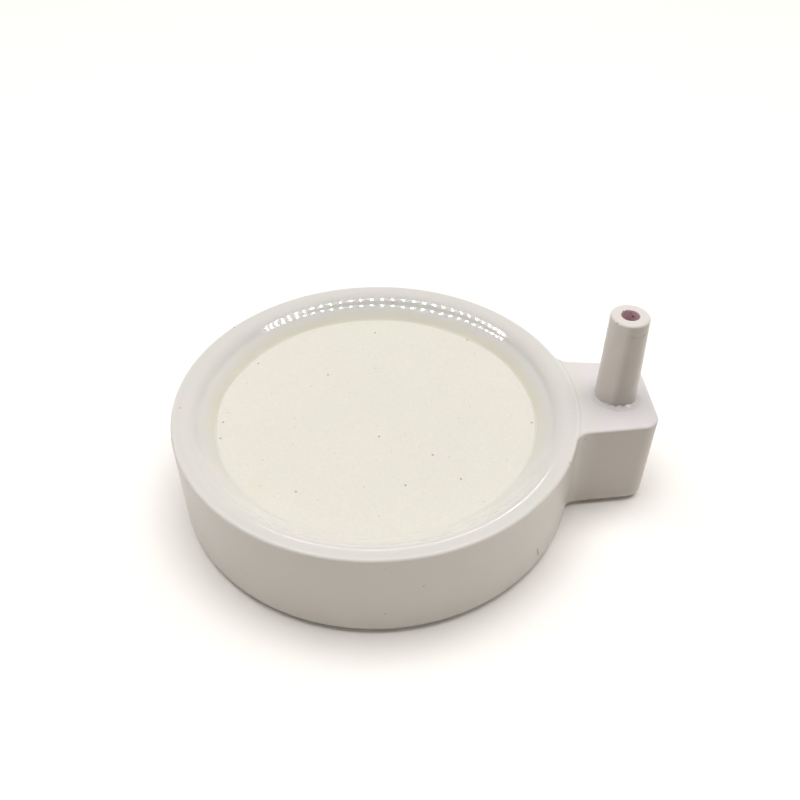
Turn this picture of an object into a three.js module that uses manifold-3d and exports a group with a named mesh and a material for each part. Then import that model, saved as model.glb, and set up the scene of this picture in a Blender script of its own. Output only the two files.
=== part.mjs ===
// Carbon dioxide diffuser for an aquarium: a round moulded housing with a side lug, a porous ceramic
// disc bedded into its top, a plate that closes its underside, and an upright inlet tube for airline.
// Millimetres, +Z up. The origin is the centre of the underside, and the lug points along +X.
import * as THREE from "three";
import { mergeVertices } from "three/addons/utils/BufferGeometryUtils.js";
import Module from "manifold-3d";

// Driving dimensions
const ringRadius = 25; // outside of the round housing
const ringHeight = 13;
const topEdgeRadius = 0.4; // outer top edge
const bottomEdgeRadius = 1.3; // outer bottom edge
const lipRadius = 2; // inner top edge, rounded over towards the disc
const lipTurn = 50; // degrees of the lip's arc
const lipCentreRadius = 23.6; // where the flat top ends and the lip starts
const troughRadius = 21.6; // outside of the shallow trough that holds the epoxy round the disc
const troughHeight = 10.2;
const jointGap = 0.3; // between pieces that touch or are bonded

const discRadius = 20.5;
const discThickness = 4;
const discTop = 10.5;
const beddingThickness = 0.5;
const ledgeInnerRadius = 18.8; // the disc's ledge runs in to here

const plateRadius = 21.8;
const plateThickness = 2.3;
const plateTongueHalfWidth = 3.2;
const plateTongueEnd = 31.8;
const postCount = 6; // posts that hold the disc up over the gas chamber
const postRadius = 1.2;
const postCircleRadius = 10;

const lugEnd = 34.3; // distance of the lug's outer face from the ring's axis
const lugRoot = 26; // where the root's half-width is taken
const lugRootHalfWidth = 6.75;
const lugTipHalfWidth = 5.95; // at the lug's outer face, before its corners are rounded
const lugCornerRadius = 2.4;
const lugFilletRadius = 2; // where the lug's sides run into the ring

const tubeAxisX = 29.9;
const tubeTop = 25.1;
const tubeTopRadius = 2.3;
const tubeBaseRadius = 2.55; // at the lug's top face
const tubeRootRadius = 2.4; // the part pushed into the socket
const tubeBottom = 4.9;
const tubeBoreRadius = 1.05;
const tubeEndRounding = 0.35;
const socketFloor = 4.6;
const glueWellRadius = 3.5; // shallow counterbore round the socket's mouth
const glueWellDepth = 0.8;
const gasHoleRadius = 1.3;
const channelHalfWidth = 1.4;
const channelTop = 4.2; // the gas channel runs from the socket to the chamber

const roundSegments = 72;
const smallSegments = 32;
const arcSteps = 4;
const lipSteps = 6;
const ringArcs = 9; // the ring's outline is drawn as this many equal arcs

const wasm = await Module();
wasm.setup();

function material(color, roughness) {
  return new THREE.MeshStandardMaterial({ color, roughness, metalness: 0 });
}

const plasticWhite = material(0xe8e4dc, 0.3);
const tubeWhite = material(0xdcd7cd, 0.35);
const ceramicCream = material(0xeae5da, 0.95);
const epoxyAmber = material(0xe4dcc0, 0.15);

// A closed body from any geometry, with only positions and shared corners, ready to join or cut.
function toSolid(geometry) {
  const bare = geometry.clone();
  bare.deleteAttribute("normal");
  bare.deleteAttribute("uv");
  const merged = mergeVertices(bare, 1e-4);
  const vertProperties = new Float32Array(merged.attributes.position.array);
  const triVerts = new Uint32Array(merged.index.array);
  return new wasm.Manifold(new wasm.Mesh({ numProp: 3, vertProperties, triVerts }));
}

function toGeometry(solid) {
  const mesh = solid.getMesh();
  const geometry = new THREE.BufferGeometry();
  geometry.setAttribute("position", new THREE.BufferAttribute(mesh.vertProperties, 3));
  geometry.setIndex(new THREE.BufferAttribute(mesh.triVerts, 1));
  geometry.computeVertexNormals();
  return geometry;
}

// Points of an arc in the radius and height plane, angles in degrees, 0 outwards and 90 up.
function arc(centreR, centreZ, radius, from, to, steps = arcSteps) {
  const points = [];
  for (let i = 0; i <= steps; i += 1) {
    const angle = THREE.MathUtils.degToRad(from + ((to - from) * i) / steps);
    points.push([centreR + radius * Math.cos(angle), centreZ + radius * Math.sin(angle)]);
  }
  return points;
}

// A body of revolution about +Z. The profile goes round anticlockwise. It starts and ends on the axis,
// or is closed here by going back to its first point.
function revolve(profile, segments) {
  const points = profile.map(([r, z]) => new THREE.Vector2(r, z));
  if (points[0].x > 0) points.push(points[0].clone());
  return new THREE.LatheGeometry(points, segments).rotateX(Math.PI / 2);
}

function cylinder(radius, low, high, x = 0, y = 0, segments = smallSegments) {
  const geometry = new THREE.CylinderGeometry(radius, radius, high - low, segments);
  return geometry.rotateX(Math.PI / 2).translate(x, y, (low + high) / 2);
}

function block(lowX, highX, halfWidth, low, high) {
  const geometry = new THREE.BoxGeometry(highX - lowX, 2 * halfWidth, high - low);
  return geometry.translate((lowX + highX) / 2, 0, (low + high) / 2);
}

// Plan outline of ring and lug together. The lug's sides draw in towards its tip, and a hollow fillet
// runs each of them into the ring.
function housingOutline() {
  const taper = Math.atan((lugRootHalfWidth - lugTipHalfWidth) / (lugEnd - lugRoot));
  const sin = Math.sin(taper);
  const cos = Math.cos(taper);
  const sideDistance = lugRoot * sin + lugRootHalfWidth * cos; // from the ring's axis
  const across = sideDistance + lugFilletRadius;
  const along = Math.sqrt((ringRadius + lugFilletRadius) ** 2 - across ** 2);
  const filletX = along * cos + across * sin;
  const filletY = across * cos - along * sin;
  const filletAngle = Math.atan2(filletY, filletX);
  const cornerX = lugEnd - lugCornerRadius;
  const cornerY = (sideDistance - lugCornerRadius - cornerX * sin) / cos;
  const quarter = Math.PI / 2;
  const ringStep = (2 * Math.PI - 2 * filletAngle) / ringArcs;
  const outline = new THREE.Path();
  for (let i = 0; i < ringArcs; i += 1) {
    const start = filletAngle + i * ringStep;
    outline.absarc(0, 0, ringRadius, start, start + ringStep, false);
  }
  outline.absarc(filletX, -filletY, lugFilletRadius, Math.PI - filletAngle, quarter + taper, true);
  outline.absarc(cornerX, -cornerY, lugCornerRadius, taper - quarter, 0, false);
  outline.absarc(cornerX, cornerY, lugCornerRadius, 0, quarter - taper, false);
  outline.absarc(filletX, filletY, lugFilletRadius, -quarter - taper, filletAngle - Math.PI, true);
  const points = outline.getPoints(arcSteps);
  const apart = (point, i) => i === 0 || point.distanceTo(points[i - 1]) > 1e-4;
  return new THREE.Shape(points.filter(apart).slice(0, -1));
}

// The outline raised from low to high, with both ends rounded by the same radius.
function roundedSlab(low, high, radius) {
  const geometry = new THREE.ExtrudeGeometry(housingOutline(), {
    depth: high - low - 2 * radius,
    bevelThickness: radius,
    bevelSize: radius,
    bevelOffset: -radius,
    bevelSegments: arcSteps,
  });
  return toSolid(geometry.translate(0, 0, low + radius));
}

// Ring and lug as one block: one slab rounds its lower edge and the other its upper edge.
function housingBlock() {
  const beyond = 5;
  const roundedBelow = roundedSlab(0, ringHeight + beyond, bottomEdgeRadius);
  const roundedAbove = roundedSlab(-beyond, ringHeight, topEdgeRadius);
  return roundedBelow.intersect(roundedAbove);
}

// The round hollow: the plate's recess, the gas chamber, the disc's seat, the trough and the lip.
function cavity() {
  const ledgeHeight = discTop - discThickness - beddingThickness - 2 * jointGap;
  const recessTop = plateThickness + jointGap;
  const recessRadius = plateRadius + jointGap;
  const boreRadius = discRadius + jointGap;
  const profile = [
    [0, -1],
    [recessRadius, -1],
    [recessRadius, recessTop],
    [ledgeInnerRadius, recessTop],
    [ledgeInnerRadius, ledgeHeight],
    [boreRadius, ledgeHeight],
    [boreRadius, troughHeight],
    [troughRadius, troughHeight],
    ...arc(lipCentreRadius, ringHeight - lipRadius, lipRadius, 90 + lipTurn, 90, lipSteps),
    [lipCentreRadius, ringHeight + 1],
    [0, ringHeight + 1],
  ];
  return toSolid(revolve(profile, roundSegments));
}

// What is cut out for the tube, its glue, the gas channel and the plate's tongue.
function lugCuts() {
  const above = ringHeight + 1;
  const socket = cylinder(tubeRootRadius + jointGap, socketFloor, above, tubeAxisX);
  const well = cylinder(glueWellRadius, ringHeight - glueWellDepth, above, tubeAxisX);
  const gasHole = cylinder(gasHoleRadius, 1, above, tubeAxisX);
  const channelEnd = tubeAxisX + channelHalfWidth;
  const channel = block(ledgeInnerRadius - 2, channelEnd, channelHalfWidth, 1, channelTop);
  const tongueHalf = plateTongueHalfWidth + jointGap;
  const tongueEnd = plateTongueEnd + jointGap;
  const recess = block(ledgeInnerRadius, tongueEnd, tongueHalf, -1, plateThickness + jointGap);
  let cuts = toSolid(socket);
  for (const geometry of [well, gasHole, channel, recess]) {
    cuts = cuts.add(toSolid(geometry));
  }
  return cuts;
}

function housing() {
  return toGeometry(housingBlock().subtract(cavity()).subtract(lugCuts()));
}

// The underside plate: a disc with a tongue under the gas channel, and posts below the ceramic.
function basePlate() {
  const postTop = discTop - discThickness - jointGap;
  let solid = toSolid(cylinder(plateRadius, 0, plateThickness, 0, 0, roundSegments));
  solid = solid.add(toSolid(block(0, plateTongueEnd, plateTongueHalfWidth, 0, plateThickness)));
  for (let i = 0; i < postCount; i += 1) {
    const angle = (2 * Math.PI * i) / postCount;
    const x = postCircleRadius * Math.cos(angle);
    const y = postCircleRadius * Math.sin(angle);
    const post = cylinder(postRadius, plateThickness / 2, postTop, x, y, 16);
    solid = solid.add(toSolid(post));
  }
  return toGeometry(solid);
}

function ceramicDisc() {
  return cylinder(discRadius, discTop - discThickness, discTop, 0, 0, roundSegments);
}

// The ring of sealant that the disc is pressed into, flat on the housing's ledge.
function discBedding() {
  const top = discTop - discThickness - jointGap;
  const bottom = top - beddingThickness;
  const inner = ledgeInnerRadius + jointGap;
  return revolve([[inner, bottom], [discRadius, bottom], [discRadius, top], [inner, top]], roundSegments);
}

// The epoxy that fills the trough round the disc's edge. Its slightly hollow face slopes up to the lip.
function discSeal() {
  const innerRadius = discRadius - 0.65;
  const outerRadius = troughRadius + 0.1;
  const bottom = discTop + jointGap;
  const innerTop = bottom + 0.1;
  const outerTop = ringHeight - 0.95;
  const faceSteps = 5;
  const profile = [[innerRadius, bottom], [troughRadius - 0.2, bottom]];
  for (let i = 0; i <= faceSteps; i += 1) {
    const share = 1 - i / faceSteps;
    const r = innerRadius + (outerRadius - innerRadius) * share;
    profile.push([r, innerTop + (outerTop - innerTop) * share ** 1.25]);
  }
  return revolve(profile, roundSegments);
}

// The inlet tube: bored through, slightly tapered above the lug, its free end rounded over.
function inletTube() {
  const rounding = arc(tubeTopRadius - tubeEndRounding, tubeTop - tubeEndRounding, tubeEndRounding, 0, 90);
  const profile = [
    [tubeBoreRadius, tubeBottom],
    [tubeRootRadius, tubeBottom],
    [tubeRootRadius, ringHeight - glueWellDepth],
    [tubeBaseRadius, ringHeight],
    ...rounding,
    [tubeBoreRadius, tubeTop],
  ];
  return revolve(profile, smallSegments);
}

// The glue round the tube, seated in the well and drawn up a little against the tube.
function tubeSeal() {
  const inner = tubeBaseRadius + jointGap;
  const outer = glueWellRadius - jointGap;
  const bottom = ringHeight - glueWellDepth + jointGap;
  const profile = [
    [inner, bottom],
    [outer, bottom],
    [outer, ringHeight + 0.15],
    [inner + 0.15, ringHeight + 0.5],
    [inner, ringHeight + 0.55],
  ];
  return revolve(profile, smallSegments);
}

const diffuser = new THREE.Group();

function place(name, geometry, look, x = 0) {
  const mesh = new THREE.Mesh(geometry, look);
  mesh.name = name;
  mesh.position.x = x;
  diffuser.add(mesh);
}

place("housing", housing(), plasticWhite);
place("base_plate", basePlate(), plasticWhite);
place("ceramic_disc", ceramicDisc(), ceramicCream);
place("disc_bedding", discBedding(), epoxyAmber);
place("disc_seal", discSeal(), epoxyAmber);
place("inlet_tube", inletTube(), tubeWhite, tubeAxisX);
place("tube_seal", tubeSeal(), epoxyAmber, tubeAxisX);

export default diffuser;
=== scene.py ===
"""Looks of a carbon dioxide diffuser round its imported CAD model. Metres, +Z up, lug towards +X."""

import math

import bpy
from mathutils import Matrix, Quaternion, Vector, noise

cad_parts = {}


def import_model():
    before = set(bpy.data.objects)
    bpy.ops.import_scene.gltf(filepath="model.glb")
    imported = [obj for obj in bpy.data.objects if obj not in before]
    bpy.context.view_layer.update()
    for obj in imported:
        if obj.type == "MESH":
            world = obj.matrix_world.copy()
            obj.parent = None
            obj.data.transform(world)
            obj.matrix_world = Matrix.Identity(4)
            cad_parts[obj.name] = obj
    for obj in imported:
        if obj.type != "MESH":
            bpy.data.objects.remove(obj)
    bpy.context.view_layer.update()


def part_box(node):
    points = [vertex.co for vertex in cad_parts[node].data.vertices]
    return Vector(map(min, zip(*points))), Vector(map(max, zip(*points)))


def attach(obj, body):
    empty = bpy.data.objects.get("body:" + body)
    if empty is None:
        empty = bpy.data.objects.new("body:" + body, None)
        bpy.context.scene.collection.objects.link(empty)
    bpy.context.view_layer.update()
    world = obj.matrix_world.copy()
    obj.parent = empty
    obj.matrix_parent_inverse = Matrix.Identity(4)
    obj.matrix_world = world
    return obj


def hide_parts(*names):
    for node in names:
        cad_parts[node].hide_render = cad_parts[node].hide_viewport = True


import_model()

MM = 0.001

# Sizes read from the CAD frame
house_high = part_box("housing")[1]
disc_low, disc_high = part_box("ceramic_disc")
tube_low, tube_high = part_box("inlet_tube")
plate_low, plate_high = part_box("base_plate")
RING_RADIUS = house_high.y
RING_TOP = house_high.z
LUG_END = house_high.x
DISC_RADIUS = disc_high.x
DISC_TOP = disc_high.z
DISC_BOTTOM = disc_low.z
TUBE_X = (tube_low.x + tube_high.x) / 2
TUBE_TOP = tube_high.z
TUBE_BOTTOM = tube_low.z
TUBE_BASE_RADIUS = (tube_high.x - tube_low.x) / 2
PLATE_RADIUS = -plate_low.x
TONGUE_END = plate_high.x

# Sizes that the boxes don't give, the same as the CAD's
TOP_EDGE = 0.4 * MM
BOTTOM_EDGE = 1.3 * MM
LUG_ROOT = 26 * MM
LUG_ROOT_HALF = 6.75 * MM
LUG_TIP_HALF = 5.95 * MM
LUG_CORNER = 2.4 * MM
LUG_FILLET = 2.0 * MM
TONGUE_HALF = 3.2 * MM
PLATE_THICKNESS = 2.3 * MM
JOINT_GAP = 0.3 * MM
TUBE_TOP_RADIUS = 2.3 * MM
TUBE_ROOT_RADIUS = 2.4 * MM
TUBE_BORE_RADIUS = 1.05 * MM
TUBE_END_ROUNDING = 0.35 * MM
WELL_DEPTH = 0.8 * MM
LEDGE_DROP = 1.1 * MM  # from the disc's underside to its ledge: the bedding and two gaps
LEDGE_WIDTH = 1.7 * MM
LIP_TURN = 50  # degrees of the lip's arc, and the steepest the rim's inside gets
TROUGH_BOTTOM = 10.2 * MM

# Sizes of the visual model's own, within a millimetre of the CAD's where the CAD has them
WELL_RADIUS = 3.3 * MM
LIP_START = 24.0 * MM  # the rim's flat top ends here
LIP_RADIUS = 2.4 * MM
LIP_RUN = 0.25 * MM  # straight part below the lip's arc
TROUGH_RADIUS = 22.2 * MM
TROUGH_TOP = 11.85 * MM
MENISCUS_RADIUS = 1.8 * MM  # hollow where the epoxy climbs the plastic
SKIN_SLOPE = 37  # degrees, at the foot of the meniscus
SKIN_END_SLOPE = 0.42  # radians, where the epoxy meets the disc
SKIN_EDGE = 19.85 * MM  # the epoxy's feathered edge on the disc
PLATE_CLEARANCE = 0.12 * MM
DISC_CLEARANCE = 0.2 * MM
SOCKET_CLEARANCE = 0.1 * MM
FILL_CLEARANCE = 0.02 * MM  # between the epoxy and the trough that it fills
EDGE_TUCK = 0.03 * MM  # how far the epoxy's feathered edges reach below its face
TUBE_LEAN = math.tan(math.radians(1.5))  # towards the ring
MOUTH_ROUNDING = 0.12 * MM
GROOVE_HEIGHT = TUBE_TOP - 1.5 * MM  # a shallow worn groove near the tube's end
GROOVE_WIDTH = 0.1 * MM
GROOVE_DEPTH = 0.08 * MM
THIN_EDGE = 0.25 * MM  # rounding of the disc's and the plate's edges
TONGUE_START = 10 * MM  # inside the plate's round part
TONGUE_CORNER = 1.2 * MM
SCUFF_X = 18.65 * MM
SCUFF_Z = 3.2 * MM
SCUFF_SLANT = 0.2
BEYOND = 2 * MM  # how far a cut runs past the face that it opens

RECESS_TOP = PLATE_THICKNESS + JOINT_GAP
FINE_STEP = 0.15 * MM
PLAN_STEP = 0.3 * MM
STRAIGHT_STEP = 0.6 * MM
RING_SEGMENTS = 360
TUBE_SEGMENTS = 96
ON_AXIS = 1e-9


# ---------------------------------------------------------------- mesh helpers


def mesh_object(name, points, faces):
    mesh = bpy.data.meshes.new(name)
    mesh.from_pydata([tuple(p) for p in points], [], faces)
    mesh.validate()
    obj = bpy.data.objects.new(name, mesh)
    bpy.context.scene.collection.objects.link(obj)
    return obj


def arc(centre_r, centre_z, radius, start, end, steps):
    """Points of an arc in the radius and height plane, in degrees: 0 is outwards and 90 is up."""
    points = []
    for i in range(steps + 1):
        angle = math.radians(start + (end - start) * i / steps)
        points.append((centre_r + radius * math.cos(angle), centre_z + radius * math.sin(angle)))
    return points


def quads(low, high, count):
    """The faces between two rings of corners. Where a ring is one point on the axis they are triangles."""
    faces = []
    for k in range(count):
        following = (k + 1) % count
        corners = [low[k], low[following], high[following], high[k]]
        face = [c for i, c in enumerate(corners) if c not in corners[:i]]
        if len(face) > 2:
            faces.append(face)
    return faces


def revolve(name, profile, segments, x=0.0, shape=None):
    """A body of revolution about the upright line at x.

    The profile closes on itself, or starts and ends on the axis. shape(radius, height, angle) may move
    each point a little before it is placed.
    """
    points = []
    rings = []
    for r, z in profile:
        if r < ON_AXIS:
            rings.append([len(points)] * segments)
            points.append((x, 0, z))
            continue
        rings.append(list(range(len(points), len(points) + segments)))
        for k in range(segments):
            angle = 2 * math.pi * k / segments
            placed_r, placed_z = shape(r, z, angle) if shape else (r, z)
            points.append((x + placed_r * math.cos(angle), placed_r * math.sin(angle), placed_z))
    pairs = list(zip(rings, rings[1:]))
    if profile[0][0] > ON_AXIS:
        pairs.append((rings[-1], rings[0]))
    faces = [face for low, high in pairs for face in quads(low, high, segments)]
    return mesh_object(name, points, faces)


def straight(start, end):
    """Points and outward directions along a straight stretch of an anticlockwise outline."""
    line = Vector(end) - Vector(start)
    steps = max(1, int(line.length / STRAIGHT_STEP))
    direction = (line.y / line.length, -line.x / line.length)
    return [(*(Vector(start) + line * i / steps), *direction) for i in range(steps)]


def arc_in_plan(cx, cy, radius, start, end, inside, step=PLAN_STEP):
    """Points and outward directions of a plan arc, in radians. inside is -1 on a hollow arc."""
    steps = max(6, int(abs(end - start) * radius / step))
    out = []
    for i in range(steps):
        angle = start + (end - start) * i / steps
        c, s = math.cos(angle), math.sin(angle)
        out.append((cx + radius * c, cy + radius * s, inside * c, inside * s))
    return out


def housing_outline():
    """Ring and lug in plan, anticlockwise, as points with their outward directions."""
    taper = math.atan((LUG_ROOT_HALF - LUG_TIP_HALF) / (LUG_END - LUG_ROOT))
    sin, cos = math.sin(taper), math.cos(taper)
    side = LUG_ROOT * sin + LUG_ROOT_HALF * cos
    across = side + LUG_FILLET
    along = math.sqrt((RING_RADIUS + LUG_FILLET) ** 2 - across**2)
    fillet = Vector((along * cos + across * sin, across * cos - along * sin))
    corner_x = LUG_END - LUG_CORNER
    corner = Vector((corner_x, (side - LUG_CORNER - corner_x * sin) / cos))
    normal = Vector((sin, cos))
    meet = math.atan2(fillet.y, fillet.x)
    quarter = math.pi / 2
    below = Vector((1, -1))
    out = arc_in_plan(0, 0, RING_RADIUS, meet, 2 * math.pi - meet, 1)
    out += arc_in_plan(fillet.x, -fillet.y, LUG_FILLET, math.pi - meet, quarter + taper, -1, FINE_STEP)
    out += straight((fillet - normal * LUG_FILLET) * below, (corner + normal * LUG_CORNER) * below)
    out += arc_in_plan(corner.x, -corner.y, LUG_CORNER, taper - quarter, 0, 1, FINE_STEP)
    out += straight((LUG_END, -corner.y), (LUG_END, corner.y))
    out += arc_in_plan(corner.x, corner.y, LUG_CORNER, 0, quarter - taper, 1, FINE_STEP)
    out += straight(corner + normal * LUG_CORNER, fillet - normal * LUG_FILLET)
    out += arc_in_plan(fillet.x, fillet.y, LUG_FILLET, -quarter - taper, meet - math.pi, -1, FINE_STEP)
    return out


def slab(name, outline, profile):
    """A solid with a plan outline. The profile's points are inset and height, from the bottom up."""
    count = len(outline)
    points = [(x - nx * d, y - ny * d, z) for d, z in profile for x, y, nx, ny in outline]
    rows = [list(range(row * count, (row + 1) * count)) for row in range(len(profile))]
    faces = [rows[0][::-1], rows[-1]]
    for low, high in zip(rows, rows[1:]):
        faces += quads(low, high, count)
    return mesh_object(name, points, faces)


def edge_profile(low, high, low_edge, high_edge, steps=8):
    """Insets and heights of an upright wall whose lower and upper edges are rounded."""
    below = [(-r, z) for r, z in arc(-low_edge, low + low_edge, low_edge, -90, 0, steps)]
    above = [(-r, z) for r, z in arc(-high_edge, high - high_edge, high_edge, 0, 90, steps)]
    return below + above


def boolean(obj, tool, operation):
    """Joins the tool to the object or cuts it out, and removes the tool."""
    modifier = obj.modifiers.new(operation.lower(), "BOOLEAN")
    modifier.operation = operation
    modifier.solver = "EXACT"
    modifier.object = tool
    depsgraph = bpy.context.evaluated_depsgraph_get()
    made = bpy.data.meshes.new_from_object(obj.evaluated_get(depsgraph))
    obj.modifiers.clear()
    obj.data = made
    bpy.data.objects.remove(tool)


def shade(obj, sharp_degrees=30):
    """Smooth shading, except over edges that turn by more than the given angle."""
    mesh = obj.data
    mesh.polygons.foreach_set("use_smooth", [True] * len(mesh.polygons))
    mesh.set_sharp_from_angle(angle=math.radians(sharp_degrees))
    weighted = obj.modifiers.new("weighted normals", "WEIGHTED_NORMAL")
    weighted.keep_sharp = True
    weighted.weight = 100


def piece(obj, node, material):
    """Gives the object its material, hangs it under the root body and hides the CAD node that it stands for.
    """
    obj.data.materials.clear()
    obj.data.materials.append(material)
    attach(obj, "root")
    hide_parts(node)
    return obj


# ------------------------------------------------------------- node tree helpers


class Tree:
    """A node tree, with short ways to add the nodes used here."""

    def __init__(self, tree):
        self.tree = tree

    def add(self, kind, **settings):
        node = self.tree.nodes.new(kind)
        for key, value in settings.items():
            setattr(node, key, value)
        return node

    def link(self, source, target):
        self.tree.links.new(source, target)

    def math(self, operation, *inputs):
        node = self.add("ShaderNodeMath", operation=operation)
        for socket, value in zip(node.inputs, inputs):
            if isinstance(value, (int, float)):
                socket.default_value = value
            else:
                self.link(value, socket)
        return node.outputs[0]

    def plus(self, first, second):
        return self.math("ADD", first, second)

    def minus(self, first, second):
        return self.math("SUBTRACT", first, second)

    def times(self, first, second):
        return self.math("MULTIPLY", first, second)

    def away(self, value, middle=None):
        """How far the value is from the middle, or from zero."""
        return self.math("ABSOLUTE", value if middle is None else self.minus(value, middle))

    def span(self, value, low, high, to_low=0.0, to_high=1.0):
        """value from low..high to to_low..to_high, smoothly and clamped."""
        node = self.add("ShaderNodeMapRange", interpolation_type="SMOOTHSTEP")
        for key, number in zip(("From Min", "From Max", "To Min", "To Max"), (low, high, to_low, to_high)):
            node.inputs[key].default_value = number
        self.link(value, node.inputs["Value"])
        return node.outputs["Result"]

    def fade(self, value, full, gone):
        """1 up to full, and smoothly down to 0 at gone."""
        return self.span(value, full, gone, 1.0, 0.0)

    def split(self, vector):
        node = self.add("ShaderNodeSeparateXYZ")
        self.link(vector, node.inputs[0])
        return node.outputs

    def seen(self):
        """1 for what the camera sees directly, 0 for the lighting."""
        return self.add("ShaderNodeLightPath").outputs["Is Camera Ray"]


class Nodes(Tree):
    """A material's tree round its Principled shader. Values are set on the shader's own sockets."""

    def __init__(self, name, **values):
        self.material = bpy.data.materials.new(name)
        self.material.use_nodes = True
        super().__init__(self.material.node_tree)
        self.shader = self.tree.nodes["Principled BSDF"]
        for key, value in values.items():
            self.shader.inputs[key.replace("_", " ")].default_value = value
        self.place = self.add("ShaderNodeTexCoord").outputs["Object"]

    def noise(self, scale, detail, roughness=0.5):
        node = self.add("ShaderNodeTexNoise")
        node.inputs["Scale"].default_value = scale
        node.inputs["Detail"].default_value = detail
        node.inputs["Roughness"].default_value = roughness
        self.link(self.place, node.inputs["Vector"])
        return node.outputs["Fac"]

    def cells(self, scale, flat=False):
        node = self.add("ShaderNodeTexVoronoi", voronoi_dimensions="2D" if flat else "3D")
        node.inputs["Scale"].default_value = scale
        self.link(self.place, node.inputs["Vector"])
        return node

    def ramp(self, value, stops):
        node = self.add("ShaderNodeValToRGB")
        elements = node.color_ramp.elements
        elements[0].position, elements[0].color = stops[0][0], (*stops[0][1], 1)
        elements[1].position, elements[1].color = stops[-1][0], (*stops[-1][1], 1)
        for position, color in stops[1:-1]:
            elements.new(position).color = (*color, 1)
        self.link(value, node.inputs["Fac"])
        return node.outputs["Color"]

    def mix(self, factor, first, second):
        node = self.add("ShaderNodeMix", data_type="RGBA", blend_type="MIX")
        for socket, value in ((node.inputs[0], factor), (node.inputs[6], first), (node.inputs[7], second)):
            if isinstance(value, tuple):
                socket.default_value = (*value, 1)
            else:
                self.link(value, socket)
        return node.outputs[2]

    def axes(self):
        return self.split(self.place)

    def radius(self, line_x=0.0):
        """Distance from the upright line at line_x, in metres."""
        x, y, z = self.axes()
        across = self.minus(x, line_x)
        square = self.plus(self.times(across, across), self.times(y, y))
        return self.math("SQRT", square)

    def height(self):
        return self.axes()["Z"]

    def set(self, socket, source):
        self.link(source, self.shader.inputs[socket])

    def bump(self, height, distance, strength):
        node = self.add("ShaderNodeBump")
        node.inputs["Distance"].default_value = distance
        node.inputs["Strength"].default_value = strength
        self.link(height, node.inputs["Height"])
        self.set("Normal", node.outputs["Normal"])


# ------------------------------------------------------------------- materials

PLASTIC = (0.685, 0.666, 0.64)
PLASTIC_WARM = (0.692, 0.664, 0.643)
PLASTIC_COOL = (0.68, 0.669, 0.633)
# Painted shade on the ring's walls: a shaded copy of the plastic
WALL_PAINTED_SHADE = (0.60, 0.57, 0.525)
LUG_TOP = (0.69, 0.662, 0.672)
# Painted shade on the lug's walls, darker still
LUG_WALL_PAINTED_SHADE = (0.51, 0.47, 0.425)
# Colour of the mould line on top, also used for painted shade in the crease at the lug's root
MOULD_LINE_AND_CREASE_SHADE = (0.36, 0.33, 0.29)
CERAMIC = (0.70, 0.68, 0.62)
CERAMIC_WARM = (0.715, 0.686, 0.628)
CERAMIC_COOL = (0.705, 0.695, 0.625)
CERAMIC_GRAIN = (0.60, 0.565, 0.49)
CERAMIC_STAIN = (0.68, 0.63, 0.53)
# The epoxy's foot on the far side: a slight olive tint of its own, darkened with painted shade
OLIVE_AND_FAR_SHADE = (0.655, 0.628, 0.535)
# The tube's sides: a slightly greyer white of its own, darkened with painted shade
TUBE_GREY_WITH_SHADE = (0.485, 0.44, 0.405)
# Painted light on the tube's sides, from the bright disc and ring beside it
TUBE_PAINTED_LIGHT = (0.68, 0.635, 0.60)
TUBE_END = (0.70, 0.665, 0.64)
TUBE_BORE = (0.80, 0.60, 0.65)
GLUE = (0.67, 0.64, 0.635)
DIRT = (0.20, 0.16, 0.12)

# Light that enters the plastic, the epoxy and the glue a little
SOFT = {"Subsurface_Weight": 0.08, "Subsurface_Scale": 1.2 * MM}
POLISHED = 0.1  # roughness inside the rim
SATIN = 0.22  # what the moulded walls have on top of that
WET = 0.08  # roughness of cured epoxy and glue
COAT_GLOSS = 0.04  # roughness of the coat


def specks(nodes, cell, radius, share, flat=False):
    """A mask of small round specks, one in a share of the cells of a Voronoi pattern."""
    cells = nodes.cells(1 / cell, flat)
    dot = nodes.fade(cells.outputs["Distance"], radius / cell * 0.5, radius / cell)
    split = nodes.add("ShaderNodeSeparateColor")
    nodes.link(cells.outputs["Color"], split.inputs[0])
    chosen = nodes.math("LESS_THAN", split.outputs[0], share)
    return nodes.times(dot, chosen)


def soiled(nodes, color, mask, depth):
    """The colour, darkened towards dirt where the mask is, by no more than depth."""
    return nodes.mix(nodes.times(mask, depth), color, DIRT)


def cloudy(nodes, value, scale):
    """The value with a slow cloudy variation of a quarter up and down."""
    return nodes.plus(value, nodes.times(nodes.minus(nodes.noise(scale, 3), 0.5), 0.5))


def scuff(nodes):
    """A mask of one short dark scratch, low on the near wall of the ring."""
    x, y, z = nodes.axes()
    rise = nodes.minus(z, SCUFF_Z)
    aside = nodes.away(nodes.plus(nodes.minus(x, SCUFF_X), nodes.times(rise, SCUFF_SLANT)))
    across = nodes.fade(aside, 0.03 * MM, 0.14 * MM)
    along = nodes.fade(nodes.away(rise), 0.5 * MM, 1.1 * MM)
    near = nodes.math("LESS_THAN", y, 0)
    return nodes.times(nodes.times(across, along), near)


def moulded_tone(n, outside):
    """Pale on top and inside the rim, with painted shade on the walls, darkest on the lug's walls."""
    top = n.ramp(n.noise(95, 2), [(0.3, PLASTIC_WARM), (0.5, PLASTIC), (0.7, PLASTIC_COOL)])
    level = n.span(n.height(), RING_TOP - TOP_EDGE, RING_TOP - 0.05 * MM)
    # The top and the rim's inside keep the lit colour; the walls below it get painted shade
    upper = n.math("MAXIMUM", level, n.minus(1, outside))
    ring = n.mix(upper, WALL_PAINTED_SHADE, top)
    lug = n.mix(upper, LUG_WALL_PAINTED_SHADE, LUG_TOP)
    return n.mix(n.span(n.radius(), RING_RADIUS, RING_RADIUS + 3 * MM), ring, lug)


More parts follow.
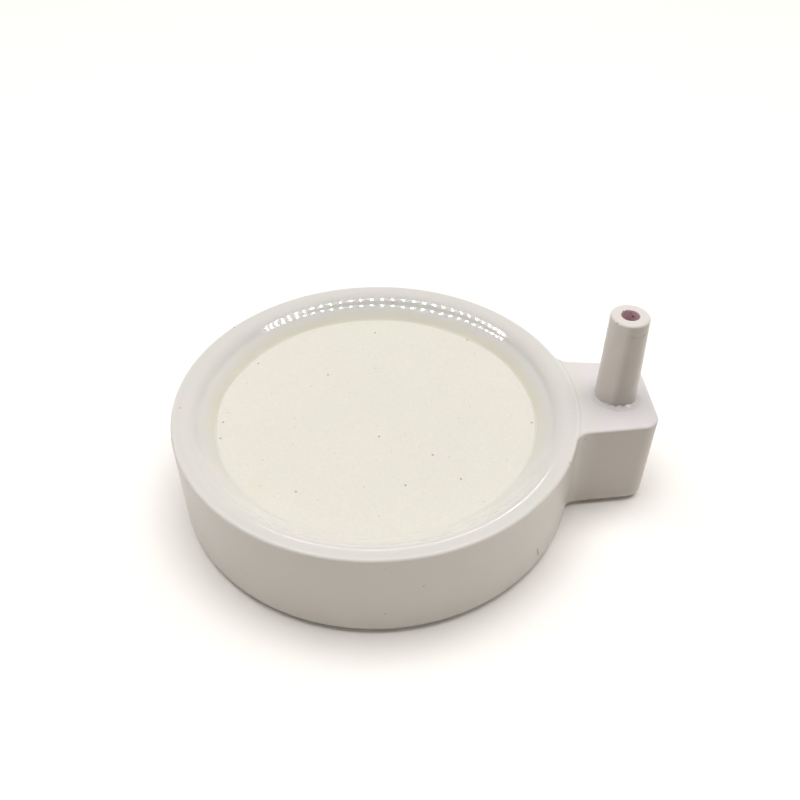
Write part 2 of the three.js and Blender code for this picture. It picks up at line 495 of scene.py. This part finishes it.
def mould_line_and_crease_shade(n, toned):
    """A faint mould line on top where ring and lug meet, and painted shade in the crease down the lug's
    root, darker towards the bottom.
    """
    witness = n.fade(n.away(n.radius(), RING_RADIUS + 0.05 * MM), 0, 0.12 * MM)
    line = n.times(witness, n.span(n.height(), RING_TOP - 0.1 * MM, RING_TOP))
    # Painted shade in the crease where the lug's fillet meets the ring, darker towards the bottom
    root = n.fade(n.away(n.radius(), RING_RADIUS + 0.12 * MM), 0, 0.1 * MM)
    crease = n.times(root, n.span(n.height(), 0, RING_TOP, 0.35, 0.1))
    return n.mix(n.plus(n.times(line, 0.18), crease), toned, MOULD_LINE_AND_CREASE_SHADE)


def moulded_white():
    """White plastic: satin on the walls, and polished under a coat from the rim's edge inwards."""
    n = Nodes("moulded_white", Coat_Roughness=COAT_GLOSS, **SOFT)
    outside = n.span(n.radius(), RING_RADIUS - 0.7 * MM, RING_RADIUS - 0.2 * MM)
    n.set("Roughness", n.plus(n.times(outside, SATIN), POLISHED))
    n.set("Coat Weight", n.minus(1, outside))
    lined = mould_line_and_crease_shade(n, moulded_tone(n, outside))
    marked = soiled(n, lined, specks(n, 2.2 * MM, 0.16 * MM, share=0.35), 0.6)
    n.set("Base Color", soiled(n, marked, scuff(n), 0.85))
    swirl = n.noise(260, 4)
    fine = n.noise(1800, 2)
    n.bump(n.plus(swirl, n.times(fine, 0.1)), 0.02 * MM, strength=0.12)
    return n.material


def porous_ceramic():
    """Matt cream ceramic: cloudy, grainy, a little stained near its edge, with specks and open pores."""
    n = Nodes("porous_ceramic", Roughness=0.9, Subsurface_Weight=0.05, Subsurface_Scale=0.6 * MM)
    tint = n.ramp(n.noise(70, 3), [(0.35, CERAMIC_WARM), (0.5, CERAMIC), (0.65, CERAMIC_COOL)])
    grains = n.noise(2600, 3, roughness=0.6)
    toned = n.mix(n.span(grains, 0.35, 0.65, 0.0, 0.2), tint, CERAMIC_GRAIN)
    large = specks(n, 3.2 * MM, 0.17 * MM, share=0.10, flat=True)
    small = specks(n, 1.7 * MM, 0.10 * MM, share=0.10, flat=True)
    smudge = n.times(n.span(n.noise(150, 3), 0.52, 0.68), n.span(n.radius(), 15 * MM, 19 * MM))
    stained = n.mix(n.times(smudge, 0.35), toned, CERAMIC_STAIN)
    n.set("Base Color", soiled(n, soiled(n, stained, small, 0.45), large, 0.75))
    pits = n.span(n.cells(3200).outputs["Distance"], 0.05, 0.4)
    n.bump(n.plus(pits, grains), 0.03 * MM, strength=0.45)
    return n.material


def clear_epoxy():
    """Clear epoxy: dull at its feathered edge, white where it climbs the lip, and at its foot yellower and
    darker towards the far side, partly its own olive tint and partly painted shade.
    """
    n = Nodes("clear_epoxy", Coat_Roughness=COAT_GLOSS, **SOFT)
    n.set("Roughness", n.span(n.radius(), SKIN_EDGE, SKIN_EDGE + 0.4 * MM, 0.5, WET))
    n.set("Coat Weight", n.span(n.radius(), SKIN_EDGE, SKIN_EDGE + 0.4 * MM))
    across = n.span(n.radius(), SKIN_EDGE - 0.2 * MM, SKIN_EDGE + 2.4 * MM)
    cloud = cloudy(n, across, 140)
    # Painted shade: the foot goes from the disc's colour on the near side to the darker olive on the far
    # side
    foot = n.mix(n.span(n.axes()["Y"], -15 * MM, 5 * MM), CERAMIC, OLIVE_AND_FAR_SHADE)
    n.set("Base Color", n.mix(n.span(cloud, 0.1, 0.85), foot, PLASTIC))
    n.bump(n.noise(170, 3), 0.03 * MM, strength=0.12)
    return n.material


def tube_tone(n, across):
    """Grey white sides in painted shade, with painted light on the side towards the ring and a little on the
    other, and pale at the end, which is left unshaded.
    """
    # Painted light: paler on the side towards the ring, and a little on the outer side
    towards = n.fade(across, -1.5 * MM, -0.3 * MM)
    outwards = n.span(across, 0.8 * MM, 2.2 * MM, 0.0, 0.4)
    tint = n.ramp(cloudy(n, n.plus(towards, outwards), 300), [(0.0, TUBE_GREY_WITH_SHADE), (1.0, TUBE_PAINTED_LIGHT)])
    # The end keeps the pale unshaded colour
    return n.mix(n.span(n.height(), TUBE_TOP - 0.3 * MM, TUBE_TOP - 0.02 * MM), tint, TUBE_END)


def in_bore(n):
    """A mask of the tube's bore, which leans with the tube."""
    rise = n.math("MAXIMUM", n.minus(n.height(), RING_TOP), 0)
    axis = n.minus(TUBE_X, n.times(rise, TUBE_LEAN))
    return n.fade(n.radius(axis), TUBE_BORE_RADIUS * 1.02, TUBE_BORE_RADIUS * 1.1)


def tube_white():
    """The tube's plastic, with specks, a broken dark line along the worn groove on the side away from the
    ring, and a pinkish sooty bore.
    """
    n = Nodes("tube_white", Roughness=0.32, Subsurface_Weight=0.05, Subsurface_Scale=1 * MM)
    across = n.minus(n.axes()["X"], TUBE_X)
    marks = specks(n, 1.2 * MM, 0.13 * MM, share=0.25)
    spotted = soiled(n, tube_tone(n, across), marks, 0.6)
    # A broken dark line along the groove, on the side away from the ring
    groove = n.fade(n.away(n.height(), GROOVE_HEIGHT), 0, 0.12 * MM)
    broken = n.times(n.span(across, -1.4 * MM, 0.6 * MM), n.span(n.noise(420, 2), 0.40, 0.6))
    groove_darkened = soiled(n, spotted, n.times(groove, broken), 0.55)
    bore = n.mix(n.span(n.noise(1500, 2), 0.57, 0.63, 0.0, 0.9), TUBE_BORE, DIRT)
    n.set("Base Color", n.mix(in_bore(n), groove_darkened, bore))
    n.bump(n.noise(900, 3), 0.02 * MM, strength=0.4)
    return n.material


def clear_glue():
    """Clear glue, wet where it stands above the lug."""
    n = Nodes("clear_glue", IOR=1.5, **SOFT)
    n.set("Roughness", n.span(n.height(), RING_TOP, RING_TOP + 0.05 * MM, 0.32, WET))
    n.set("Base Color", n.ramp(n.noise(500, 3), [(0.3, GLUE), (0.7, LUG_TOP)]))
    n.bump(n.noise(1100, 3), 0.04 * MM, strength=0.4)
    return n.material


# ---------------------------------------------------------------------- pieces


def lip_section():
    """The rim's rounded lip, from its flat top down to where the epoxy starts."""
    points = arc(LIP_START, RING_TOP - LIP_RADIUS, LIP_RADIUS, 90, 90 + LIP_TURN, 16)
    steep = math.radians(LIP_TURN)
    r, z = points[-1]
    points.append((r - LIP_RUN * math.cos(steep), z - LIP_RUN * math.sin(steep)))
    return points


def skin_section(steps=20):
    """The epoxy's face: a meniscus under the lip, then a slightly hollow slope down to the disc."""
    start = Vector(lip_section()[-1])
    steep = math.radians(LIP_TURN)
    gentle = math.radians(SKIN_SLOPE)
    centre = start + Vector((-math.sin(steep), math.cos(steep))) * MENISCUS_RADIUS
    points = arc(centre.x, centre.y, MENISCUS_RADIUS, LIP_TURN - 90, SKIN_SLOPE - 90, 8)
    low = Vector(points[-1])
    end = Vector((SKIN_EDGE, DISC_TOP))
    along = Vector((-math.cos(gentle), -math.sin(gentle)))
    reach = (low - end).length
    first = low + along * reach / 3
    second = end + Vector((math.cos(SKIN_END_SLOPE), math.sin(SKIN_END_SLOPE))) * reach / 3
    for i in range(1, steps + 1):
        t = i / steps
        curve = low * (1 - t) ** 3 + first * 3 * t * (1 - t) ** 2 + second * 3 * t * t * (1 - t) + end * t**3
        points.append(tuple(curve))
    return points


def cavity_profile():
    """The round hollow from below upwards: plate recess, gas chamber, disc seat, trough and lip."""
    ledge = DISC_BOTTOM - LEDGE_DROP
    above = RING_TOP + BEYOND
    recess = PLATE_RADIUS + PLATE_CLEARANCE
    bore = DISC_RADIUS + DISC_CLEARANCE
    chamber = DISC_RADIUS - LEDGE_WIDTH
    profile = [(0, -BEYOND), (recess, -BEYOND), (recess, RECESS_TOP), (chamber, RECESS_TOP)]
    profile += [(chamber, ledge), (bore, ledge), (bore, TROUGH_BOTTOM)]
    profile += [(TROUGH_RADIUS, TROUGH_BOTTOM), (TROUGH_RADIUS, TROUGH_TOP)]
    return profile + lip_section()[::-1] + [(LIP_START, above), (0, above)]


def socket_profile():
    """The tube's blind socket and the shallow well for the glue round it."""
    seat = RING_TOP - WELL_DEPTH
    above = RING_TOP + BEYOND
    bottom = TUBE_BOTTOM - JOINT_GAP
    radius = TUBE_ROOT_RADIUS + SOCKET_CLEARANCE
    profile = [(0, bottom), (radius, bottom), (radius, seat)]
    return profile + [(WELL_RADIUS, seat), (WELL_RADIUS, above), (0, above)]


def housing():
    body = slab("housing_shell", housing_outline(), edge_profile(0, RING_TOP, BOTTOM_EDGE, TOP_EDGE))
    boolean(body, revolve("cavity", cavity_profile(), RING_SEGMENTS), "DIFFERENCE")
    boolean(body, revolve("socket", socket_profile(), TUBE_SEGMENTS, TUBE_X), "DIFFERENCE")
    recess = slab("recess", tongue_outline(PLATE_CLEARANCE), [(0, -BEYOND), (0, RECESS_TOP)])
    boolean(body, recess, "DIFFERENCE")
    shade(body)
    return piece(body, "housing", moulded_white())


def tongue_outline(grow=0.0):
    """The base plate's tongue in plan, from inside the round part to its rounded end."""
    half = TONGUE_HALF + grow
    corner = TONGUE_CORNER + grow
    end_x = TONGUE_END + grow - corner
    outline = straight((TONGUE_START, -half), (end_x, -half))
    outline += arc_in_plan(end_x, corner - half, corner, -math.pi / 2, 0, 1, FINE_STEP)
    outline += straight((end_x + corner, corner - half), (end_x + corner, half - corner))
    outline += arc_in_plan(end_x, half - corner, corner, 0, math.pi / 2, 1, FINE_STEP)
    outline += straight((end_x, half), (TONGUE_START, half))
    outline += straight((TONGUE_START, half), (TONGUE_START, -half))
    return outline


def base_plate():
    profile = [(0, 0)] + arc(PLATE_RADIUS - THIN_EDGE, THIN_EDGE, THIN_EDGE, -90, 0, 5)
    profile += [(PLATE_RADIUS, PLATE_THICKNESS), (0, PLATE_THICKNESS)]
    body = revolve("underside_plate", profile, RING_SEGMENTS)
    tongue_edge = edge_profile(0, PLATE_THICKNESS, THIN_EDGE, THIN_EDGE, 4)
    boolean(body, slab("tongue", tongue_outline(), tongue_edge), "UNION")
    shade(body)
    return piece(body, "base_plate", moulded_white())


def ceramic_disc():
    """The disc, with fine rings of points on its top so that the top can be slightly uneven."""
    rings = 60
    bumps = 260  # noise periods in a metre
    unevenness = 0.015 * MM
    top = [(DISC_RADIUS * i / rings, DISC_TOP) for i in range(rings - 1)]
    outside = arc(DISC_RADIUS - THIN_EDGE, DISC_TOP - THIN_EDGE, THIN_EDGE, 90, 0, 4)
    under = arc(DISC_RADIUS - THIN_EDGE, DISC_BOTTOM + THIN_EDGE, THIN_EDGE, 0, -90, 4)
    profile = (top + outside + under + [(0, DISC_BOTTOM)])[::-1]

    def uneven(r, z, angle):
        if z < DISC_TOP - THIN_EDGE:
            return r, z
        at = Vector((r * math.cos(angle), r * math.sin(angle), 0)) * bumps
        return r, z + noise.noise(at) * unevenness

    body = revolve("porous_disc", profile, RING_SEGMENTS, shape=uneven)
    shade(body)
    return piece(body, "ceramic_disc", porous_ceramic())


def disc_seal():
    """The epoxy in the trough round the disc, feathered out over the disc's edge."""
    face = skin_section()
    top_r, top_z = face[0]
    disc_side = DISC_RADIUS + FILL_CLEARANCE
    trough_side = TROUGH_RADIUS - FILL_CLEARANCE
    bottom = TROUGH_BOTTOM + FILL_CLEARANCE
    feather = (SKIN_EDGE - 0.05 * MM, DISC_TOP - EDGE_TUCK)
    inner = [feather, (disc_side, DISC_TOP - 0.05 * MM), (disc_side, bottom)]
    outer = [(trough_side, bottom), (trough_side, TROUGH_TOP - EDGE_TUCK)]
    outer.append((top_r + 0.01 * MM, top_z - EDGE_TUCK))
    reach = 1.0 * MM  # of the wandering edge, inwards and outwards
    wander = 0.12 * MM
    lobes = 3.1  # the edge is a circle of this radius through the noise
    level = 0.3

    def wandering(r, z, angle):
        near = max(0.0, 1 - abs(r - SKIN_EDGE) / reach)
        at = Vector((math.cos(angle), math.sin(angle), level)) * lobes
        return r + near * noise.noise(at) * wander, z

    body = revolve("epoxy_fillet", inner + outer + face, RING_SEGMENTS, shape=wandering)
    shade(body)
    return piece(body, "disc_seal", clear_epoxy())


def tube_profile(steps=60, bore_steps=6):
    """The tube's wall: root, tapered outside, rounded end and bore."""
    end = TUBE_END_ROUNDING
    mouth = MOUTH_ROUNDING
    profile = [(TUBE_BORE_RADIUS, TUBE_BOTTOM), (TUBE_ROOT_RADIUS, TUBE_BOTTOM)]
    profile += [(TUBE_ROOT_RADIUS, RING_TOP - WELL_DEPTH), (TUBE_BASE_RADIUS, RING_TOP)]
    length = TUBE_TOP - end - RING_TOP
    for i in range(1, steps):
        r = TUBE_BASE_RADIUS + (TUBE_TOP_RADIUS - TUBE_BASE_RADIUS) * i / steps
        profile.append((r, RING_TOP + length * i / steps))
    profile += arc(TUBE_TOP_RADIUS - end, TUBE_TOP - end, end, 0, 90, 8)
    profile += arc(TUBE_BORE_RADIUS + mouth, TUBE_TOP - mouth, mouth, 90, 180, 4)
    bore = [(TUBE_BORE_RADIUS, RING_TOP + length * i / bore_steps) for i in range(bore_steps)]
    return profile + bore[::-1]


def inlet_tube():
    """The tube above and below the lug's top, leaning towards the ring above it."""
    bore_wall = TUBE_BORE_RADIUS + 0.2 * MM
    groove_side = math.pi / 4  # the groove is deepest between +X and -Y, and fades out round the tube

    def worn(r, z, angle):
        if r < bore_wall or z < RING_TOP:
            return r, z
        front = max(0.0, math.cos(angle + groove_side))
        dip = math.exp(-(((z - GROOVE_HEIGHT) / GROOVE_WIDTH) ** 2)) * front
        return r - GROOVE_DEPTH * dip, z

    body = revolve("port_tube", tube_profile(), TUBE_SEGMENTS, TUBE_X, worn)
    for vertex in body.data.vertices:
        vertex.co.x -= max(0.0, vertex.co.z - RING_TOP) * TUBE_LEAN
    shade(body)
    return piece(body, "inlet_tube", tube_white())


def tube_seal():
    """The glue that fills the well and stands up in a wrinkled bead round the near side of the tube."""
    bottom = RING_TOP - WELL_DEPTH
    inside = TUBE_BASE_RADIUS - 0.05 * MM
    bead = [(inside, bottom), (WELL_RADIUS, bottom), (WELL_RADIUS, RING_TOP)]
    bead += [(WELL_RADIUS - 0.1 * MM, RING_TOP + 0.04 * MM), (3.05 * MM, RING_TOP + 0.1 * MM)]
    bead += [(2.9 * MM, RING_TOP + 0.13 * MM), (2.75 * MM, RING_TOP + 0.19 * MM)]
    bead += [(inside, RING_TOP + 0.3 * MM)]
    far_share = 0.08  # of the bead's height that the far side has
    folds = 6
    fold_depth = 0.1 * MM
    across_folds = 1.5
    unevenness = 1.1
    finer = 1.7

    def wrinkled(r, z, angle):
        if z <= RING_TOP:
            return r, z
        near = far_share + (1 - far_share) * max(0.0, -math.sin(angle))
        at = Vector((math.cos(angle) * folds, math.sin(angle) * folds, r / MM * across_folds))
        lift = (z - RING_TOP) * (1 + unevenness * noise.noise(at * finer))
        return r + noise.noise(at) * fold_depth * near, RING_TOP + lift * near

    body = revolve("port_glue", bead, TUBE_SEGMENTS * 2, TUBE_X, wrinkled)
    shade(body, 60)
    return piece(body, "tube_seal", clear_glue())


def disc_bedding():
    """The ring of sealant under the disc's rim, with its upper edges rounded."""
    low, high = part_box("disc_bedding")
    width = 1.4 * MM
    edge = 0.2 * MM
    profile = [(high.x - width, low.z), (high.x, low.z)]
    profile += arc(high.x - edge, high.z - edge, edge, 0, 90, 4)
    profile += arc(high.x - width + edge, high.z - edge, edge, 90, 180, 4)
    body = revolve("bedding_ring", profile, RING_SEGMENTS)
    shade(body)
    return piece(body, "disc_bedding", clear_glue())


# ------------------------------------------------- camera, floor and the lights

CAMERA_DISTANCE = 112.9 * MM
CAMERA_ELEVATION = math.radians(46.39)
CAMERA_YAW = math.radians(-1.65)
CAMERA_PITCH = math.radians(4.84)
CAMERA_ROLL = math.radians(-1.27)
CAMERA_LENS = 37.69
CLIP_START = 0.005
CLIP_END = 20

# Places and sizes in metres, powers in watts
KEY_PLACE = (0, 0.08, 0.75)
KEY_SIZE = (0.8, 0.5)
KEY_POWER = 6.7
KEY_COLOR = (1.0, 0.99, 0.98)
STRIP_PLACE = (-0.04, 0.8, 0.434)
STRIP_AIM = (0, 0, 0.01)
STRIP_SIZE = (0.09, 0.022)
STRIP_POWER = 0.075

BAR_COUNT = 30
BAR_DISTANCE = 500 * MM
BAR_SIZE = (10 * MM, 150 * MM)
BAR_POWER = 0.068
BAR_CROWDING = 60  # degrees of a sine's turn each way, which brings the outer bars closer together
BAR_MIDDLE = 5  # degrees round the lip, from +Y towards +X, of the point that mirrors the bow's middle
BAR_REACH = 55  # degrees round the lip, times that sine, to the points that mirror the bow's ends
BAR_SLOPE = 41.5  # degrees of the lip's slope at the points that mirror the bow
BAR_SLOPE_GAIN = 6  # degrees by which that slope grows with the square of the distance from BAR_LEVEL
BAR_LEVEL = 0.2  # where along the bow the slope is least, from -1 to 1

WORLD_FRONT = 0.05
WORLD_SIDES = 0.42
WORLD_LEAN = 0.45  # share by which the +X side is brighter and the -X side dimmer
WORLD_BACK = 0.3
WORLD_HORIZON = 0.33
WORLD_BAND = (0.08, 0.24)  # heights where the horizon's brightness starts to fall and ends
WORLD_WHITE = 1.2  # to the eye
WORLD_COLOR = (1.0, 0.955, 0.885, 1)

FLOOR_HALF = 3.0
FLOOR_HEIGHT = -0.02 * MM
FLOOR_WARM = (0.95, 0.925, 0.90)
FLOOR_PALE = (0.965, 0.94, 0.915)
FLOOR_GLOW = (0.3, 0.9)  # radii where the glow starts and is full


def camera_place():
    return Vector((0, -math.cos(CAMERA_ELEVATION), math.sin(CAMERA_ELEVATION))) * CAMERA_DISTANCE


def camera():
    data = bpy.data.cameras.new("camera")
    data.lens = CAMERA_LENS
    data.clip_start = CLIP_START
    data.clip_end = CLIP_END
    obj = bpy.data.objects.new("camera", data)
    aim = (-camera_place()).to_track_quat("-Z", "Y")
    turn = Quaternion((0, 1, 0), CAMERA_YAW) @ Quaternion((1, 0, 0), CAMERA_PITCH)
    turn = turn @ Quaternion((0, 0, 1), CAMERA_ROLL)
    obj.location = camera_place()
    obj.rotation_mode = "QUATERNION"
    obj.rotation_quaternion = aim @ turn
    bpy.context.scene.collection.objects.link(obj)
    bpy.context.scene.camera = obj


def area_light(name, place, aim, size, power, color=(1, 1, 1), along=(0, 0, 1)):
    """A rectangular light that faces aim, with the second side of its size along the given direction."""
    data = bpy.data.lights.new(name, "AREA")
    data.shape = "RECTANGLE"
    data.size, data.size_y = size
    data.energy = power
    data.color = color
    obj = bpy.data.objects.new(name, data)
    obj.location = place
    obj.rotation_mode = "QUATERNION"
    back = (Vector(place) - Vector(aim)).normalized()
    side = Vector(along).cross(back).normalized()
    obj.rotation_quaternion = Matrix((side, back.cross(side), back)).transposed().to_quaternion()
    bpy.context.scene.collection.objects.link(obj)
    return obj


def lights():
    """A softbox overhead that isn't mirrored, and narrow lamps that are only seen as glints."""
    key = area_light("overhead", KEY_PLACE, (0, 0, 0), KEY_SIZE, KEY_POWER, KEY_COLOR)
    key.visible_glossy = False
    strip = area_light("back_strip", STRIP_PLACE, STRIP_AIM, STRIP_SIZE, STRIP_POWER)
    for light in [strip] + lamp_bars():
        light.visible_diffuse = False


def mirrored(azimuth, slope):
    """A point of the lip and the direction in which the camera sees a light there.

    azimuth is from +Y towards +X.
    """
    r = LIP_START - LIP_RADIUS * math.sin(slope)
    z = RING_TOP - LIP_RADIUS * (1 - math.cos(slope))
    outward = Vector((math.sin(azimuth), math.cos(azimuth), 0))
    place = outward * r + Vector((0, 0, z))
    normal = Vector((0, 0, math.cos(slope))) - outward * math.sin(slope)
    return place, (place - camera_place()).normalized().reflect(normal)


def lamp_bars():
    """A bow of narrow lamps over the near side.

    The far lip mirrors them as a row of dots, closer at its ends. Each lamp's long side follows the way
    that its mirror image moves as the lip gets steeper.
    """
    bars = []
    steeper = 0.05  # radians
    for i in range(BAR_COUNT):
        turn = math.sin(math.radians(BAR_CROWDING) * (2 * i / (BAR_COUNT - 1) - 1))
        azimuth = math.radians(BAR_MIDDLE + BAR_REACH * turn)
        slope = math.radians(BAR_SLOPE + BAR_SLOPE_GAIN * (turn - BAR_LEVEL) ** 2)
        place, direction = mirrored(azimuth, slope)
        along = mirrored(azimuth, slope + steeper)[1] - direction
        lamp = place + direction * BAR_DISTANCE
        bars.append(area_light(f"bar_{i}", lamp, place, BAR_SIZE, BAR_POWER, along=along))
    return bars


def world():
    """A soft surround: dim on the near side, brighter at the sides and the horizon, white to the eye."""
    made = bpy.data.worlds.new("studio")
    made.use_nodes = True
    n = Tree(made.node_tree)
    background = made.node_tree.nodes["Background"]
    x, y, z = n.split(n.add("ShaderNodeTexCoord").outputs["Generated"])
    lean = n.plus(1, n.times(x, WORLD_LEAN))
    sides = n.times(n.times(n.times(x, x), lean), WORLD_SIDES)
    back = n.times(n.math("MAXIMUM", y, 0), WORLD_BACK)
    total = n.plus(sides, n.plus(back, n.span(z, *WORLD_BAND, WORLD_HORIZON, 0)))
    seen = n.seen()
    lighting = n.times(n.plus(total, WORLD_FRONT), n.minus(1, seen))
    n.link(n.plus(lighting, n.times(seen, WORLD_WHITE)), background.inputs["Strength"])
    background.inputs["Color"].default_value = WORLD_COLOR
    bpy.context.scene.world = made


def floor():
    """Pale paper. Far from the lamps it glows to the eye only, so that it runs into the white surround."""
    corners = [(-1, -1), (1, -1), (1, 1), (-1, 1)]
    points = [(x * FLOOR_HALF, y * FLOOR_HALF, FLOOR_HEIGHT) for x, y in corners]
    obj = mesh_object("floor", points, [[0, 1, 2, 3]])
    n = Nodes("floor_paper", Roughness=0.9, Emission_Color=(1, 1, 1, 1))
    n.set("Base Color", n.ramp(n.noise(30, 2), [(0.0, FLOOR_WARM), (1.0, FLOOR_PALE)]))
    n.set("Emission Strength", n.times(n.seen(), n.span(n.radius(), *FLOOR_GLOW)))
    obj.data.materials.append(n.material)


housing()
base_plate()
ceramic_disc()
disc_bedding()
disc_seal()
inlet_tube()
tube_seal()
camera()
lights()
world()
floor()
bpy.context.scene.view_settings.view_transform = "Standard"
